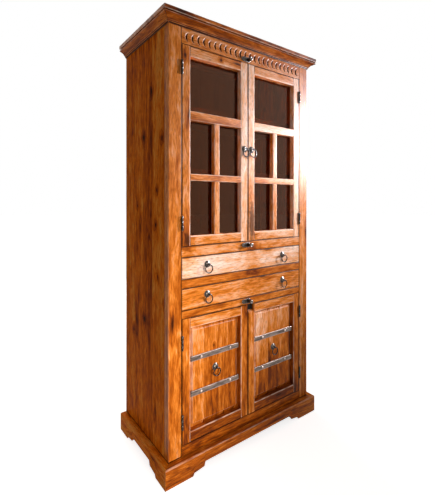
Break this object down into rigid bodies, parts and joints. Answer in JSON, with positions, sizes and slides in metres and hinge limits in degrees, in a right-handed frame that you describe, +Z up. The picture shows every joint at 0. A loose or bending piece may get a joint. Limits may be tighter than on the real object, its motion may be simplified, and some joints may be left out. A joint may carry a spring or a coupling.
{
  "type": "trastero cabinet",
  "caption": "Tall hardwood cupboard with glazed upper doors, waist drawers, panelled lower doors, a carved frieze under a moulded crown, and a bracket-foot plinth.",
  "frame": {"origin": "on the floor, at the middle of the overall footprint", "axes": "+Z up, the doors face -Y, +X to the right seen from the front"},
  "size_m": [0.918, 0.477, 1.9],
  "materials": {
    "front_wood": "varnished, honey brown",
    "case_wood": "varnished, brown",
    "inside_wood": "dark stain",
    "forged_iron": "forged, waxed",
    "pane_glass": "clear"
  },
  "bodies": {
    "carcass": {"side_panel_left": "case_wood", "side_panel_right": "case_wood", "back_panel": "inside_wood", "front_post_left": "front_wood", "front_post_right": "front_wood", "sill_rail": "front_wood", "lower_head_rail": "front_wood", "drawer_divider_rail": "front_wood", "waist_rail": "front_wood", "frieze_rail": "front_wood", "crown_top": "case_wood", "crown_front": "case_wood", "crown_left": "case_wood", "crown_right": "case_wood", "plinth_front": "case_wood", "plinth_left": "case_wood", "plinth_right": "case_wood", "floor_board": "inside_wood", "lower_shelf": "inside_wood", "drawer_bay_floor": "inside_wood", "waist_board": "inside_wood", "upper_shelves": "inside_wood", "shelf_cleats": "inside_wood", "drawer_runners": "inside_wood", "hinge_fixed_leaves": "forged_iron"},
    "upper_left_door": {"upper_left_door_frame": "front_wood", "upper_left_door_bars": "front_wood", "upper_left_door_glass": "pane_glass", "upper_left_door_beads": "front_wood", "upper_left_door_ironwork": "forged_iron"},
    "upper_right_door": {"upper_right_door_frame": "front_wood", "upper_right_door_bars": "front_wood", "upper_right_door_glass": "pane_glass", "upper_right_door_beads": "front_wood", "upper_right_door_ironwork": "forged_iron"},
    "upper_left_door_ring": {"upper_left_door_ring": "forged_iron"},
    "upper_right_door_ring": {"upper_right_door_ring": "forged_iron"},
    "lower_left_door": {"lower_left_door_frame": "front_wood", "lower_left_door_panel": "front_wood", "lower_left_door_straps": "forged_iron", "lower_left_door_ironwork": "forged_iron"},
    "lower_right_door": {"lower_right_door_frame": "front_wood", "lower_right_door_panel": "front_wood", "lower_right_door_straps": "forged_iron", "lower_right_door_ironwork": "forged_iron"},
    "lower_left_door_ring": {"lower_left_door_ring": "forged_iron"},
    "lower_right_door_ring": {"lower_right_door_ring": "forged_iron"},
    "upper_drawer": {"upper_drawer_front": "front_wood", "upper_drawer_box": "inside_wood", "upper_drawer_pull_plates": "forged_iron"},
    "upper_drawer_ring_left": {"upper_drawer_ring_left": "forged_iron"},
    "upper_drawer_ring_right": {"upper_drawer_ring_right": "forged_iron"},
    "lower_drawer": {"lower_drawer_front": "front_wood", "lower_drawer_box": "inside_wood", "lower_drawer_pull_plates": "forged_iron"},
    "lower_drawer_ring_left": {"lower_drawer_ring_left": "forged_iron"},
    "lower_drawer_ring_right": {"lower_drawer_ring_right": "forged_iron"},
    "latch_frieze": {"latch_frieze": "forged_iron"},
    "latch_waist": {"latch_waist": "forged_iron"},
    "latch_lower_head": {"latch_lower_head": "forged_iron"}
  },
  "joints": [
    {"name": "upper_left_door_hinge", "type": "hinge", "parent": "carcass", "child": "upper_left_door", "pos_m": [-0.36025, -0.2072, 1.3625], "axis": [0, 0, -1], "range_deg": [0, 170]},
    {"name": "upper_right_door_hinge", "type": "hinge", "parent": "carcass", "child": "upper_right_door", "pos_m": [0.36025, -0.2072, 1.3625], "axis": [0, 0, 1], "range_deg": [0, 170]},
    {"name": "lower_left_door_hinge", "type": "hinge", "parent": "carcass", "child": "lower_left_door", "pos_m": [-0.36025, -0.2072, 0.3845], "axis": [0, 0, -1], "range_deg": [0, 170]},
    {"name": "lower_right_door_hinge", "type": "hinge", "parent": "carcass", "child": "lower_right_door", "pos_m": [0.36025, -0.2072, 0.3845], "axis": [0, 0, 1], "range_deg": [0, 170]},
    {"name": "upper_drawer_slide", "type": "slide", "parent": "carcass", "child": "upper_drawer", "axis": [0, -1, 0], "range_m": [0, 0.32]},
    {"name": "lower_drawer_slide", "type": "slide", "parent": "carcass", "child": "lower_drawer", "axis": [0, -1, 0], "range_m": [0, 0.32]},
    {"name": "upper_left_door_ring_swing", "type": "hinge", "parent": "upper_left_door", "child": "upper_left_door_ring", "pos_m": [-0.022, -0.2175, 1.376], "axis": [-1, 0, 0], "range_deg": [-15, 180]},
    {"name": "upper_right_door_ring_swing", "type": "hinge", "parent": "upper_right_door", "child": "upper_right_door_ring", "pos_m": [0.022, -0.2175, 1.376], "axis": [-1, 0, 0], "range_deg": [-15, 180]},
    {"name": "lower_left_door_ring_swing", "type": "hinge", "parent": "lower_left_door", "child": "lower_left_door_ring", "pos_m": [-0.1805, -0.2035, 0.398], "axis": [-1, 0, 0], "range_deg": [-15, 180]},
    {"name": "lower_right_door_ring_swing", "type": "hinge", "parent": "lower_right_door", "child": "lower_right_door_ring", "pos_m": [0.1805, -0.2035, 0.398], "axis": [-1, 0, 0], "range_deg": [-15, 180]},
    {"name": "upper_drawer_ring_left_swing", "type": "hinge", "parent": "upper_drawer", "child": "upper_drawer_ring_left", "pos_m": [-0.233, -0.2175, 0.86], "axis": [-1, 0, 0], "range_deg": [-15, 180]},
    {"name": "upper_drawer_ring_right_swing", "type": "hinge", "parent": "upper_drawer", "child": "upper_drawer_ring_right", "pos_m": [0.233, -0.2175, 0.86], "axis": [-1, 0, 0], "range_deg": [-15, 180]},
    {"name": "lower_drawer_ring_left_swing", "type": "hinge", "parent": "lower_drawer", "child": "lower_drawer_ring_left", "pos_m": [-0.233, -0.2175, 0.731], "axis": [-1, 0, 0], "range_deg": [-15, 180]},
    {"name": "lower_drawer_ring_right_swing", "type": "hinge", "parent": "lower_drawer", "child": "lower_drawer_ring_right", "pos_m": [0.233, -0.2175, 0.731], "axis": [-1, 0, 0], "range_deg": [-15, 180]},
    {"name": "latch_frieze_turn", "type": "hinge", "parent": "carcass", "child": "latch_frieze", "pos_m": [0, -0.2025, 1.797], "axis": [0, -1, 0], "range_deg": [0, 90]},
    {"name": "latch_waist_turn", "type": "hinge", "parent": "carcass", "child": "latch_waist", "pos_m": [0, -0.2025, 0.927], "axis": [0, 1, 0], "range_deg": [-90, 90]},
    {"name": "latch_lower_head_turn", "type": "hinge", "parent": "carcass", "child": "latch_lower_head", "pos_m": [0, -0.2025, 0.663], "axis": [0, -1, 0], "range_deg": [-90, 90]}
  ]
}
